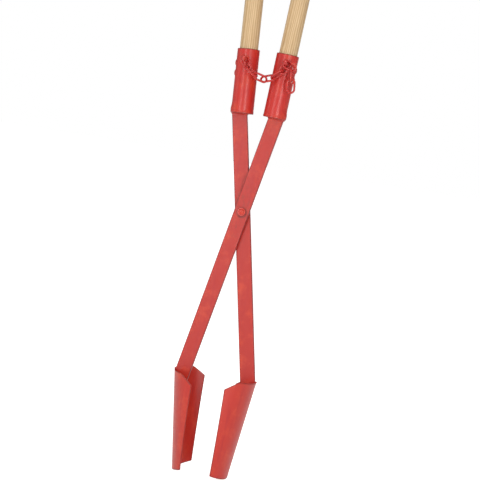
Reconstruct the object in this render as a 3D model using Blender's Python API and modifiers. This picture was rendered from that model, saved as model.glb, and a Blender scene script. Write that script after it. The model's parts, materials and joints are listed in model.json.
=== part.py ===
"""Post hole digger: two flat steel arms crossed on a bolt, with tube sockets,
wooden handles, trough blades and a short limiting chain.

Frame: metres, +Z up along the tool, -Y to the front, origin on the pivot axis
midway between the two arms. The front arm runs from the right socket to the
left blade, the back arm from the left socket to the right blade.
"""
import bmesh
import bpy
from math import acos, atan2, cos, pi, radians, sin, sqrt
from mathutils import Matrix, Vector

GAP = 0.0003                      # clearance between solids that touch

# arms: flat bars
BAR_WIDTH = 0.0318
BAR_THICKNESS = 0.008
ARM_SPACING = 0.0016              # between the two arms' facing sides
ARM_LEAN = radians(11.2)          # from the tool's axis, above the pivot
ARM_BEND = radians(8.0)           # towards upright at the socket's mouth
ARM_TO_SOCKET = 0.2045            # pivot to the bend
ARM_TO_BLADE = 0.3575             # pivot to the top of the blade's web
TANG_LENGTH = 0.060               # the part welded along the web
TANG_TIP = 0.010
TONGUE_LENGTH = 0.022             # inside the socket
EDGE_ROUND = 0.0008

# sockets and handles
SOCKET_LENGTH = 0.133
SOCKET_RADIUS = 0.0232
SOCKET_BORE = 0.0197
SOCKET_FLOOR = 0.006
SOCKET_INSET = 0.0047             # socket's axis lies this far inside the bar's
LIP = 0.0009                      # the rolled lower rim stands out this far
HANDLE_RADIUS = 0.019
HANDLE_LENGTH = 1.219             # a 48 inch handle
HANDLE_SEAT = 0.0325              # its lower end above the socket's bottom
HANDLE_ROUND = 0.009

# screws that hold the handles, from the outer side
SCREW_RADIUS = 0.003
SCREW_HEAD_RADIUS = 0.0065
SCREW_HEAD_HEIGHT = 0.0022
SCREW_DEPTH = 0.026
SCREW_DROPS = (0.029, 0.050)      # below the socket's top

# blades: troughs of a circular section
BLADE_RADIUS = 0.0657
BLADE_THICKNESS = 0.0026
BLADE_TOE_IN = radians(7.79)
BLADE_LENGTH = 0.2055             # web's top to the free corners at the foot
BLADE_HEEL = 0.006                # the web's foot reaches this much lower
BLADE_DEPTH_TOP = 0.0488          # web to free edge
BLADE_DEPTH_BOTTOM = 0.0271
BLADE_SHOULDER = 0.0231           # drop of the slanting shoulder
BLADE_CROWN = 0.025               # nearly level part of the top edge, from the web
BLADE_CROWN_DROP = 0.0015
BLADE_TOP_TILT = radians(2.4)     # the top edge is cut askew, lower on the arm's own side
BLADE_OFFSET = 0.0024

# pivot hardware
BOLT_RADIUS = 0.004
BOLT_HEAD_RADIUS = 0.0062
BOLT_HEAD_HEIGHT = 0.0042
WASHER_RADIUS = 0.0092
WASHER_THICKNESS = 0.0022
SPACER_THICKNESS = 0.0010
NUT_ACROSS_FLATS = 0.013
NUT_HEIGHT = 0.0065
BOLT_END = 0.0030                 # beyond the nut

# chain and its hooks
LINK_WIRE = 0.0042
LINK_INNER_LENGTH = 0.0234
LINK_INNER_WIDTH = 0.0104
LINK_PLAY = 0.0015                # left at each pivot
HOOK_RADIUS = 0.0038
HOOK_BEND = 0.0060
HOOK_RISE = 0.0030
LEFT_HOOK = Vector((-0.038, 0.309))
RIGHT_HOOK = Vector((0.049, 0.312))
CHAIN_Y = -0.0374
TAIL_Y = -0.0422
LEFT_HOOK_REACH = -0.0420
RIGHT_HOOK_REACH = -0.0465
# each link's fall below level, its turn about its own length, and its hinge's inset
LEFT_RUN = ((59.3, 0.0, 0.0), (37.3, -71.0, 0.0), (14.6, 35.0, 0.0))
RIGHT_RUN = ((65.0, 0.0, 0.0), (40.5, -69.0, 0.0), (18.1, 36.0, 0.0))
TAIL_RUN = ((20.0, 0.0, 0.0), (84.0, 90.0, LINK_INNER_WIDTH / 2), (84.0, 0.0, 0.0))

RED = (0.55, 0.055, 0.045, 1.0)
RED_WORN = (0.62, 0.085, 0.060, 1.0)
ASH = (0.70, 0.50, 0.30, 1.0)


def clear_scene():
    for obj in list(bpy.data.objects):
        bpy.data.objects.remove(obj, do_unlink=True)


def new_collection(name):
    collection = bpy.data.collections.new(name)
    bpy.context.scene.collection.children.link(collection)
    return collection


def make_material(name, colour, roughness, metallic):
    material = bpy.data.materials.new(name)
    material.use_nodes = True
    shader = material.node_tree.nodes["Principled BSDF"]
    shader.inputs["Base Color"].default_value = colour
    shader.inputs["Roughness"].default_value = roughness
    shader.inputs["Metallic"].default_value = metallic
    return material


def new_object(name, mesh, collection, material=None):
    obj = bpy.data.objects.new(name, mesh)
    collection.objects.link(obj)
    if material:
        mesh.materials.clear()
        mesh.materials.append(material)
    return obj


def curve_to_object(name, curve, collection, material=None):
    """A filled or tubular curve as one closed mesh object."""
    guide = bpy.data.objects.new(name + "_curve", curve)
    collection.objects.link(guide)
    evaluated = guide.evaluated_get(bpy.context.evaluated_depsgraph_get())
    mesh = bpy.data.meshes.new_from_object(evaluated)
    mesh.name = name
    bpy.data.objects.remove(guide, do_unlink=True)
    bm = bmesh.new()
    bm.from_mesh(mesh)
    bmesh.ops.remove_doubles(bm, verts=bm.verts, dist=1e-6)
    bmesh.ops.recalc_face_normals(bm, faces=bm.faces)
    bm.to_mesh(mesh)
    bm.free()
    return new_object(name, mesh, collection, material)


def plate(name, outline, thickness, collection, material=None):
    """A flat plate: (x, z) outline, its thickness centred on y = 0."""
    curve = bpy.data.curves.new(name, "CURVE")
    curve.dimensions = "2D"
    curve.fill_mode = "BOTH"
    curve.extrude = thickness / 2
    spline = curve.splines.new("POLY")
    spline.points.add(len(outline) - 1)
    for point, (x, z) in zip(spline.points, outline):
        point.co = (x, z, 0.0, 1.0)
    spline.use_cyclic_u = True
    obj = curve_to_object(name, curve, collection, material)
    obj.data.transform(Matrix.Rotation(pi / 2, 4, "X"))
    return obj


def cylinder(name, radius, length, collection, material=None, segments=32):
    """A cylinder along +Z from z = 0."""
    mesh = bpy.data.meshes.new(name)
    bm = bmesh.new()
    bmesh.ops.create_cone(bm, cap_ends=True, segments=segments, radius1=radius, radius2=radius,
                          depth=length, matrix=Matrix.Translation((0, 0, length / 2)))
    bm.to_mesh(mesh)
    bm.free()
    return new_object(name, mesh, collection, material)


def turned(name, profile, collection, material=None, steps=40):
    """A Screw turned about Z from an open (radius, z) profile."""
    mesh = bpy.data.meshes.new(name)
    points = [(r, 0.0, z) for r, z in profile]
    mesh.from_pydata(points, [(i, i + 1) for i in range(len(points) - 1)], [])
    obj = new_object(name, mesh, collection, material)
    screw = obj.modifiers.new("turn", "SCREW")
    screw.axis = "Z"
    screw.steps = steps
    screw.render_steps = steps
    screw.use_merge_vertices = True
    screw.merge_threshold = 0.00001
    return obj


def add_cut(obj, cutter, cutters, operation="DIFFERENCE"):
    for collection in list(cutter.users_collection):
        collection.objects.unlink(cutter)
    cutters.objects.link(cutter)
    cutter.hide_render = True
    cutter.display_type = "WIRE"
    cut = obj.modifiers.new("cut", "BOOLEAN")
    cut.operation = operation
    cut.solver = "EXACT"
    cut.object = cutter


def round_edges(obj, width, angle=radians(40)):
    bevel = obj.modifiers.new("round", "BEVEL")
    bevel.width = width
    bevel.segments = 1
    bevel.limit_method = "ANGLE"
    bevel.angle_limit = angle
    return bevel


def arc(cx, cz, radius, start, end, steps):
    return [(cx + radius * cos(start + (end - start) * i / steps),
             cz + radius * sin(start + (end - start) * i / steps)) for i in range(steps + 1)]


def mirrored(points):
    return [(-x, z) for x, z in reversed(points)]


class Half:
    """The plan of one half of the tool, drawn for the front arm: its socket
    leans to +X and its blade hangs at -X. The back half is its mirror."""
    along = Vector((sin(ARM_LEAN), cos(ARM_LEAN)))
    across = Vector((cos(ARM_LEAN), -sin(ARM_LEAN)))
    socket_along = Vector((sin(ARM_LEAN - ARM_BEND), cos(ARM_LEAN - ARM_BEND)))
    socket_inward = Vector((-cos(ARM_LEAN - ARM_BEND), sin(ARM_LEAN - ARM_BEND)))
    socket_base = along * ARM_TO_SOCKET + socket_inward * SOCKET_INSET
    web_down = Vector((sin(BLADE_TOE_IN), -cos(BLADE_TOE_IN)))
    web_inward = Vector((cos(BLADE_TOE_IN), sin(BLADE_TOE_IN)))
    web_top = -along * ARM_TO_BLADE - across * (BAR_WIDTH / 2) - Vector((BLADE_OFFSET, 0))


def meet(point, direction, base, normal):
    """Where a line meets the line through base with that normal."""
    return point + direction * ((base - point).dot(normal) / direction.dot(normal))


def arm_outline():
    """From the socket's tongue down the outer edge to the tang and back up."""
    h = Half
    half = BAR_WIDTH / 2
    outer_edge = h.across * half
    seat = h.socket_base - h.socket_along * GAP
    out = meet(outer_edge, h.along, seat, h.socket_along)
    inn = meet(-outer_edge, h.along, seat, h.socket_along)
    tongue_out = 0.0180
    tongue_in = half - SOCKET_INSET
    tongue = [h.socket_base - h.socket_inward * tongue_out - h.socket_along * GAP,
              h.socket_base - h.socket_inward * tongue_out + h.socket_along * TONGUE_LENGTH,
              h.socket_base + h.socket_inward * tongue_in + h.socket_along * TONGUE_LENGTH,
              h.socket_base + h.socket_inward * tongue_in - h.socket_along * GAP]
    top = h.web_top - h.web_down * GAP
    notch_depth = BLADE_THICKNESS + 0.0011
    notch = meet(-outer_edge, -h.along, top, h.web_down)
    seat_top = top + h.web_inward * notch_depth
    tip = seat_top + h.web_down * TANG_LENGTH
    tip_inner = tip + h.web_inward * TANG_TIP
    inner = meet(outer_edge, -h.along, tip_inner, h.web_inward)
    return [tuple(p) for p in (tongue[0], out, inner, tip_inner, tip, seat_top, notch, inn,
                               tongue[3], tongue[2], tongue[1])]


def make_arm(name, side, parts, cutters, material):
    """side is +1 for the front arm and -1 for the back arm."""
    outline = arm_outline()
    if side < 0:
        outline = mirrored(outline)
    arm = plate(name, outline, BAR_THICKNESS, parts, material)
    arm.location.y = -side * (ARM_SPACING + BAR_THICKNESS) / 2
    hole = cylinder(name + "_hole", BOLT_RADIUS + GAP, 0.04, cutters, segments=32)
    hole.data.transform(Matrix.Rotation(pi / 2, 4, "X"))
    hole.location.y = 0.02
    round_edges(arm, EDGE_ROUND, radians(20))
    add_cut(arm, hole, cutters)
    return arm


def socket_frame(side):
    """Placement of a socket's own frame: Z along it, X to its outer side."""
    base = Half.socket_base
    lean = side * (ARM_LEAN - ARM_BEND)
    y = -side * (ARM_SPACING + BAR_THICKNESS) / 2
    return Matrix.Translation((side * base.x, y, base.y)) @ Matrix.Rotation(lean, 4, "Y")


def make_socket(name, side, parts, cutters, material):
    r, b, top = SOCKET_RADIUS, SOCKET_BORE, SOCKET_LENGTH
    profile = [(0.0, SOCKET_FLOOR), (b, SOCKET_FLOOR), (b, top - 0.0006), (b + 0.0006, top),
               (r - 0.0010, top), (r - 0.0003, top - 0.0004), (r, top - 0.0012),
               (r, 0.016), (r + LIP * 0.6, 0.010), (r + LIP, 0.006), (r + LIP * 0.6, 0.0028),
               (r - 0.0010, 0.0008), (r - 0.0030, 0.0), (0.0, 0.0)]
    socket = turned(name, profile, parts, material, steps=40)
    slot_left, slot_right = -(BAR_WIDTH / 2 - SOCKET_INSET) - GAP, 0.0180 + GAP
    slot = plate(name + "_slot", [(slot_left, -0.01), (slot_right, -0.01), (slot_right, 0.02),
                                  (slot_left, 0.02)], BAR_THICKNESS + 2 * GAP, cutters)
    if side < 0:
        slot.data.transform(Matrix.Scale(-1, 4, (1, 0, 0)))
        slot.data.flip_normals()
    slot.matrix_world = socket_frame(side)
    socket.matrix_world = socket_frame(side)
    add_cut(socket, slot, cutters)
    for number, drop in enumerate(SCREW_DROPS):
        hole = cylinder(f"{name}_hole_{number}", SCREW_RADIUS + GAP, 0.03, cutters, segments=16)
        hole.data.transform(Matrix.Rotation(side * pi / 2, 4, "Y"))
        hole.matrix_world = (socket_frame(side)
                             @ Matrix.Translation((side * 0.010, 0, SOCKET_LENGTH - drop)))
        add_cut(socket, hole, cutters)
    return socket


def make_handle(name, side, parts, cutters, material):
    r, length = HANDLE_RADIUS, HANDLE_LENGTH
    q = HANDLE_ROUND
    crown = [(r - q + q * sin(a), length - q + q * cos(a)) for a in
             (pi / 2 * i / 5 for i in range(6))]
    profile = [(0.0, length)] + crown + [(r, 0.002), (r - 0.002, 0.0), (0.0, 0.0)]
    handle = turned(name, profile, parts, material, steps=36)
    handle.matrix_world = socket_frame(side) @ Matrix.Translation((0, 0, HANDLE_SEAT))
    for number, drop in enumerate(SCREW_DROPS):
        start = SOCKET_RADIUS - SCREW_DEPTH - GAP
        hole = cylinder(f"{name}_hole_{number}", SCREW_RADIUS + GAP, 0.03, cutters, segments=16)
        hole.data.transform(Matrix.Rotation(side * pi / 2, 4, "Y"))
        hole.matrix_world = (socket_frame(side)
                             @ Matrix.Translation((side * start, 0, SOCKET_LENGTH - drop)))
        add_cut(handle, hole, cutters)
    return handle


def make_screw(name, side, drop, parts, material):
    """A low-headed screw; its frame's +Z points out of the wood."""
    out = SOCKET_RADIUS + GAP
    head, rise = SCREW_HEAD_RADIUS, SCREW_HEAD_HEIGHT
    profile = [(0.0, out + rise), (head * 0.55, out + rise * 0.88), (head * 0.85, out + rise * 0.55),
               (head, out + rise * 0.1), (head, out), (SCREW_RADIUS, out),
               (SCREW_RADIUS, out - SCREW_DEPTH + 0.006), (0.0012, out - SCREW_DEPTH + 0.001),
               (0.0, out - SCREW_DEPTH)]
    screw = turned(name, profile, parts, material, steps=20)
    screw.matrix_world = (socket_frame(side) @ Matrix.Translation((0, 0, SOCKET_LENGTH - drop))
                          @ Matrix.Rotation(side * pi / 2, 4, "Y"))
    return screw


def make_blade(name, side, parts, cutters, material):
    """A curved sheet, trimmed by its side outline and by its top one. In its own
    frame X points into the trough from the web and Z up along the web."""
    r, t = BLADE_RADIUS, BLADE_THICKNESS
    reach = acos(1 - BLADE_DEPTH_TOP / r) + radians(6)
    outer = arc(r, 0.0, r, pi + reach, pi - reach, 40)
    inner = arc(r, 0.0, r - t, pi - reach, pi + reach, 40)
    sheet = plate(name, outer + inner, BLADE_LENGTH + 0.03, parts, material)
    sheet.data.transform(Matrix.Translation((0, 0, -BLADE_LENGTH / 2))
                         @ Matrix.Rotation(pi / 2, 4, "X"))
    # both outlines run past the sheet where they do not trim it
    spare = 0.01
    slope = (BLADE_DEPTH_TOP - BLADE_DEPTH_BOTTOM) / (BLADE_LENGTH - BLADE_SHOULDER)
    heel = BLADE_LENGTH + BLADE_HEEL * (1 + spare / BLADE_DEPTH_BOTTOM)
    side_outline = [(-spare, spare), (BLADE_DEPTH_TOP + slope * (BLADE_SHOULDER + spare), spare),
                    (BLADE_DEPTH_BOTTOM, -BLADE_LENGTH), (-spare, -heel)]
    steep = (BLADE_SHOULDER - BLADE_CROWN_DROP) / (BLADE_DEPTH_TOP - BLADE_CROWN)
    far = BLADE_DEPTH_TOP + spare
    top_outline = [(-spare, 0.0), (0.0, 0.0), (BLADE_CROWN, -BLADE_CROWN_DROP),
                   (far, -BLADE_SHOULDER - steep * spare), (far, -0.3), (-spare, -0.3)]
    sides = plate(name + "_sides", side_outline, 0.2, cutters)
    top = plate(name + "_top", top_outline, 0.2, cutters)
    top.data.transform(Matrix.Rotation(BLADE_TOP_TILT, 4, "X"))
    for obj in (sheet, sides, top):
        obj.matrix_world = (Matrix.Rotation(0 if side > 0 else pi, 4, "Z")
                            @ Matrix.Translation((Half.web_top.x, 0, Half.web_top.y))
                            @ Matrix.Rotation(-BLADE_TOE_IN, 4, "Y"))
    add_cut(sheet, sides, cutters, "INTERSECT")
    add_cut(sheet, top, cutters, "INTERSECT")
    return sheet


def make_pivot(parts, cutters, steel):
    """Domed bolt from the front, washers, spacer and hex nut behind."""
    face = ARM_SPACING / 2 + BAR_THICKNESS
    under_head = face + 2 * GAP + WASHER_THICKNESS
    nut_from = face + 2 * GAP + WASHER_THICKNESS
    end = nut_from + NUT_HEIGHT + BOLT_END
    head = BOLT_HEAD_RADIUS
    dome = [(head * sin(a), under_head + BOLT_HEAD_HEIGHT * cos(a) * 0.85 + 0.0006 * (a < 1.5))
            for a in (pi / 2 * i / 6 for i in range(7))]
    profile = dome + [(head, under_head), (BOLT_RADIUS, under_head),
                      (BOLT_RADIUS, -end + 0.001), (BOLT_RADIUS - 0.001, -end), (0.0, -end)]
    bolt = turned("pivot_bolt", profile, parts, steel, steps=24)
    bolt.rotation_euler.x = pi / 2
    for name, start, thick, radius in (
            ("front_washer", -(face + GAP + WASHER_THICKNESS), WASHER_THICKNESS, WASHER_RADIUS),
            ("middle_washer", -SPACER_THICKNESS / 2, SPACER_THICKNESS, WASHER_RADIUS),
            ("back_washer", face + GAP, WASHER_THICKNESS, WASHER_RADIUS)):
        inner = BOLT_RADIUS + GAP
        ring = [(inner, thick), (radius - 0.0003, thick), (radius, thick - 0.0003),
                (radius, 0.0003), (radius - 0.0003, 0.0), (inner, 0.0), (inner, thick)]
        washer = turned(name, ring, parts, steel, steps=32)
        washer.rotation_euler.x = pi / 2
        washer.location.y = start + thick
    nut = cylinder("pivot_nut", NUT_ACROSS_FLATS / sqrt(3), NUT_HEIGHT, parts, steel, segments=6)
    hole = cylinder("pivot_nut_hole", BOLT_RADIUS + GAP, 0.03, cutters, segments=24)
    for obj, y in ((nut, nut_from + NUT_HEIGHT), (hole, nut_from + 0.018)):
        obj.data.transform(Matrix.Rotation(pi / 2, 4, "X"))
        obj.location.y = y
    round_edges(nut, 0.0006, radians(50))
    add_cut(nut, hole, cutters)


def tube(name, points, radius, collection, material, closed=False, resolution=2):
    curve = bpy.data.curves.new(name, "CURVE")
    curve.dimensions = "3D"
    curve.bevel_depth = radius
    curve.bevel_resolution = resolution
    curve.use_fill_caps = not closed
    curve.twist_mode = "MINIMUM"
    spline = curve.splines.new("POLY")
    spline.points.add(len(points) - 1)
    for point, co in zip(spline.points, points):
        point.co = (*co, 1.0)
    spline.use_cyclic_u = closed
    return curve_to_object(name, curve, collection, material)


def make_hook(name, hook, socket_y, reach, parts, material):
    """A round rod out of the socket's front, turned up at its end."""
    start = socket_y - SOCKET_RADIUS - GAP
    bend = [(0.0, reach - HOOK_BEND * sin(a), HOOK_BEND * (1 - cos(a)))
            for a in (pi / 2 * i / 6 for i in range(7))]
    end = (0.0, reach - HOOK_BEND, HOOK_BEND + HOOK_RISE)
    obj = tube(name, [(0.0, start, 0.0)] + bend + [end], HOOK_RADIUS, parts, material,
               resolution=4)
    obj.location = (hook.x, 0.0, hook.y)
    return obj


def link_points():
    """Centre line of a link: a stadium along X, centred on the origin."""
    turn = (LINK_INNER_WIDTH + LINK_WIRE) / 2
    straight = (LINK_INNER_LENGTH + LINK_WIRE) / 2 - turn
    right = arc(straight, 0.0, turn, -pi / 2, pi / 2, 8)
    left = arc(-straight, 0.0, turn, pi / 2, 3 * pi / 2, 8)
    return [(x, 0.0, z) for x, z in right + left]


def place_link(name, pivot, centre, direction, y, roll, mesh, parts, material):
    """A link whose joint empty stands on its hinge axis at the pivot."""
    if mesh is None:
        link = tube(name, link_points(), LINK_WIRE / 2, parts, material, closed=True)
    else:
        link = new_object(name, mesh, parts)
    joint = bpy.data.objects.new(name + "_joint", None)
    joint.empty_display_size = 0.01
    parts.objects.link(joint)
    joint.location = (pivot.x, y, pivot.y)
    link.parent = joint
    offset = centre - pivot
    heading = atan2(direction.y, direction.x)
    link.matrix_local = (Matrix.Translation((offset.x, 0, offset.y))
                         @ Matrix.Rotation(-heading, 4, "Y") @ Matrix.Rotation(roll, 4, "X"))
    return link


def make_run(names, start, run, y, heading, mesh, parts, material):
    """Links one after another from a hook; heading is +1 towards +X, -1 towards -X.
    The first link bears on the hook's rod, each other one on the link before.
    Each run's row is a link's fall, its roll, and how far before the last
    link's inner end its own hinge lies."""
    pivot = start
    length = LINK_INNER_LENGTH - HOOK_RADIUS - LINK_PLAY
    direction = Vector((0, 0))
    for name, (fall, roll, inset) in zip(names, run):
        pivot = pivot - direction * inset
        length += inset
        direction = Vector((heading * cos(radians(fall)), -sin(radians(fall))))
        far = pivot + direction * length
        centre = far + direction * ((LINK_PLAY - LINK_INNER_LENGTH) / 2)
        link = place_link(name, pivot, centre, direction, y, radians(roll), mesh, parts, material)
        mesh = link.data
        pivot = far
        length = LINK_INNER_LENGTH - LINK_PLAY
    return mesh


def main():
    clear_scene()
    parts = new_collection("post_hole_digger")
    cutters = new_collection("cutters")
    paint = {name: make_material(name, colour, 0.42, 0.0) for name, colour in (
        ("arm_paint", RED_WORN), ("socket_paint", RED), ("blade_paint", RED),
        ("hook_paint", RED), ("chain_paint", RED))}
    bolt_paint = make_material("bolt_paint", RED, 0.35, 0.2)
    wood = make_material("ash_wood", ASH, 0.55, 0.0)

    for side, arm, socket, handle, blade in (
            (1, "front_arm", "right_socket", "right_handle", "left_blade"),
            (-1, "back_arm", "left_socket", "left_handle", "right_blade")):
        make_arm(arm, side, parts, cutters, paint["arm_paint"])
        make_socket(socket, side, parts, cutters, paint["socket_paint"])
        make_handle(handle, side, parts, cutters, wood)
        make_blade(blade, side, parts, cutters, paint["blade_paint"])
        where = socket.split("_")[0]
        for level, drop in zip(("upper", "lower"), SCREW_DROPS):
            make_screw(f"{where}_{level}_screw", side, drop, parts, bolt_paint)
    make_pivot(parts, cutters, bolt_paint)

    plane = (ARM_SPACING + BAR_THICKNESS) / 2
    make_hook("left_hook", LEFT_HOOK, plane, LEFT_HOOK_REACH, parts, paint["hook_paint"])
    make_hook("right_hook", RIGHT_HOOK, -plane, RIGHT_HOOK_REACH, parts, paint["hook_paint"])
    chain = paint["chain_paint"]
    mesh = make_run(["chain_link_1", "chain_link_2", "chain_link_3"], LEFT_HOOK, LEFT_RUN,
                    CHAIN_Y, 1, None, parts, chain)
    make_run(["chain_link_6", "chain_link_5", "chain_link_4"], RIGHT_HOOK, RIGHT_RUN,
             CHAIN_Y, -1, mesh, parts, chain)
    make_run(["chain_link_7", "chain_link_8", "chain_link_9"], RIGHT_HOOK, TAIL_RUN,
             TAIL_Y, 1, mesh, parts, chain)
    for obj in parts.objects:
        if obj.type == "MESH":
            obj.data.shade_smooth()
            obj.data.set_sharp_from_angle(angle=radians(35))


main()
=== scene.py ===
"""Post hole digger: fine surfaces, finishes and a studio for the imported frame.

Axes as in the frame: metres, +Z up along the tool, -Y to the front, origin on the
pivot. Each half is planned in the x-z plane for the front arm, whose socket leans
to +X and whose blade hangs at -X; the back half is its mirror image in x.
"""

import json
from math import cos, pi, radians, sin, tan
from types import SimpleNamespace

import bpy
import numpy as np
from bpy.props import FloatProperty, FloatVectorProperty, PointerProperty, StringProperty
from bpy.types import Operator, Panel, PropertyGroup
from mathutils import Matrix, Vector


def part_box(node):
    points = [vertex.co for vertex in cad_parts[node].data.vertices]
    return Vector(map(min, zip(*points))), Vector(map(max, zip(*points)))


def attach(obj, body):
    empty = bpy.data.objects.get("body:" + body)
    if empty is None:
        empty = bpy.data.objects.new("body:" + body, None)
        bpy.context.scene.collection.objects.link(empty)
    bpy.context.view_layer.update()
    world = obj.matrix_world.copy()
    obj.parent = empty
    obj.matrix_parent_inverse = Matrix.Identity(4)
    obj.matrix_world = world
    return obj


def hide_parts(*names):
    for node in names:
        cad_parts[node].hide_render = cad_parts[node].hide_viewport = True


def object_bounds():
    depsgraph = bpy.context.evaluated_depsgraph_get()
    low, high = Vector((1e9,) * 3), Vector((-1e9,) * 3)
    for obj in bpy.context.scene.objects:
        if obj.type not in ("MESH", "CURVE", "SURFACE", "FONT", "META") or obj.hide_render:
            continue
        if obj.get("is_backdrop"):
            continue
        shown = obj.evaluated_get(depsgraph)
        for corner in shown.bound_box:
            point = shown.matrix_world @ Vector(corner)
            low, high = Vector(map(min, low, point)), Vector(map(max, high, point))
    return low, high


bl_info = {
    "name": "Post Hole Digger",
    "version": (1, 0, 0),
    "blender": (4, 5, 0),
    "location": "3D View > Sidebar > Digger",
    "description": "Builds a scissor post hole digger with its finishes and a studio",
    "category": "Add Mesh",
}

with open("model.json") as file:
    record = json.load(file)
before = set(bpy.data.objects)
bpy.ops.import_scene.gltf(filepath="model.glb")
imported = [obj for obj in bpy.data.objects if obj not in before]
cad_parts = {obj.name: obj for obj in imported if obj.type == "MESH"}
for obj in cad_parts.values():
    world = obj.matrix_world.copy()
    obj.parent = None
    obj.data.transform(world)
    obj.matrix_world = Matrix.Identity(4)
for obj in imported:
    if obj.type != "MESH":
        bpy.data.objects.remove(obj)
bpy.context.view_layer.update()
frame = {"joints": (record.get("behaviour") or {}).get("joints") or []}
JOINTS = {joint["name"]: Vector(joint["pos_m"]) for joint in frame["joints"]}
HALVES = (
    SimpleNamespace(side=1, body="front_half", arm="front_arm", socket="right_socket",
                    handle="right_handle", blade="left_blade", where="right"),
    SimpleNamespace(side=-1, body="back_half", arm="back_arm", socket="left_socket",
                    handle="left_handle", blade="right_blade", where="left"),
)


# ---------------------------------------------------------------- sizes and colours

def length(name, description, default):
    return FloatProperty(name=name, description=description, default=default,
                         unit="LENGTH", precision=5, min=0.0)


def angle(name, description, degrees):
    return FloatProperty(name=name, description=description, default=radians(degrees),
                         subtype="ANGLE", unit="ROTATION")


class DiggerArms(PropertyGroup):
    bar_width: length("Bar width", "Width of the flat bar", 0.0318)
    bar_thickness: length("Bar thickness", "Thickness of the flat bar", 0.008)
    corner: length("Corner", "Rounding of the bar's long corners", 0.0009)
    spacing: length("Spacing", "Gap between the two arms' facing sides", 0.0016)
    lean: angle("Lean", "Lean of each arm from the tool's axis", 11.2)
    bend: angle("Bend", "Bend towards upright at the socket's mouth", 8.0)
    to_socket: length("To socket", "From the pivot to the socket's mouth", 0.2045)
    to_blade: length("To blade", "From the pivot to the top of the blade", 0.3575)
    tongue: length("Tongue", "Length of the bar inside the socket", 0.005)
    tang: length("Tang", "Length of the bar welded along the blade", 0.060)
    tang_tip: length("Tang tip", "Width of the tang's end", 0.010)
    weld: length("Weld", "Size of the weld beads", 0.0024)
    ripple: length("Weld ripple", "Distance between the ripples of a weld bead", 0.0024)
    # also the strength of the painted edge shade on the narrow faces
    narrow_wear_and_shade: FloatProperty(name="Wear of the narrow faces", default=0.3,
                               description="Edge wear on the narrow faces and ends of the bars")


class DiggerSockets(PropertyGroup):
    tall: length("Length", "Length of the tube", 0.133)
    radius: length("Radius", "Outer radius of the tube", 0.0232)
    bore: length("Bore", "Inner radius of the tube", 0.0197)
    floor: length("Floor", "Thickness of the closed lower end", 0.006)
    inset: length("Inset", "The tube's axis lies this far inside the bar's", 0.0047)
    bulge: length("Bulge", "How far the welded outer corner stands out", 0.0017)
    lip: length("Lip", "How far the burred lower rim stands out", 0.0004)
    handle_radius: length("Handle radius", "Radius of the round handle", 0.019)
    handle_length: length("Handle length", "Length of the handle", 1.219)
    handle_seat: length("Handle seat", "The handle's lower end above the tube's", 0.0325)
    handle_round: length("Handle end", "Rounding of the handle's upper end", 0.009)
    screw_head: length("Screw head", "Radius of the screws' heads", 0.0065)
    screw_rise: length("Screw rise", "Height of the screws' heads", 0.0022)
    upper_screw: length("Upper screw", "Below the tube's top", 0.029)
    lower_screw: length("Lower screw", "Below the tube's top", 0.050)


class DiggerBlades(PropertyGroup):
    radius: length("Radius", "Outer radius of the trough", 0.0657)
    thickness: length("Thickness", "Thickness of the sheet", 0.0026)
    toe_in: angle("Toe in", "Lean of the blade's web", 7.79)
    tall: length("Length", "From the web's top to the free corners at the foot", 0.2055)
    heel: length("Heel", "The web's foot reaches this much lower", 0.006)
    top_depth: length("Top depth", "From the web to the free corner at the top", 0.0488)
    foot_depth: length("Foot depth", "From the web to the free corner at the foot", 0.0271)
    shoulder: length("Shoulder", "Drop of the slanting top edge", 0.0231)
    crown: length("Crown", "Nearly level part of the top edge, from the web", 0.025)
    crown_drop: length("Crown drop", "Drop of the nearly level part", 0.0015)
    top_tilt: angle("Top tilt", "The top edge is cut askew, lower on the arm's side", 2.4)
    offset: length("Offset", "The web's top lies this far outside the bar's edge", 0.0024)


class DiggerPivot(PropertyGroup):
    bolt: length("Bolt", "Radius of the bolt", 0.004)
    head: length("Head", "Radius of the domed head", 0.0062)
    head_rise: length("Head rise", "Height of the domed head", 0.0041)
    washer: length("Washer", "Radius of the washers", 0.0092)
    washer_thick: length("Washer thickness", "Thickness of the washers", 0.0022)
    spacer: length("Spacer", "Thickness of the middle washer", 0.0010)
    nut: length("Nut", "Nut across its flats", 0.013)
    nut_tall: length("Nut height", "Height of the nut", 0.0065)
    bolt_end: length("Bolt end", "The bolt stands out of the nut by this", 0.0030)
    pitch: length("Thread pitch", "Distance between the bolt's threads", 0.00125)


class DiggerChain(PropertyGroup):
    wire: length("Wire", "Diameter of the links' wire", 0.0042)
    inner_length: length("Inner length", "Length of the hole in a link", 0.0234)
    inner_width: length("Inner width", "Width of the hole in a link", 0.0104)
    play: length("Play", "Clearance left at each pivot", 0.0015)
    flash: length("Flash", "Rise of the butt weld on a link's side", 0.00025)
    hook: length("Hook", "Radius of the hooks' rod", 0.0038)
    hook_bend: length("Hook bend", "Radius of the hooks' bend", 0.0060)
    hook_rise: length("Hook rise", "Straight end above the bend", 0.0030)
    hook_weld: length("Hook weld", "Width of the weld at the hooks' roots", 0.0024)


def hex_colour(name, description, value):
    return StringProperty(name=name, description=description, default=value, maxlen=7)


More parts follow.
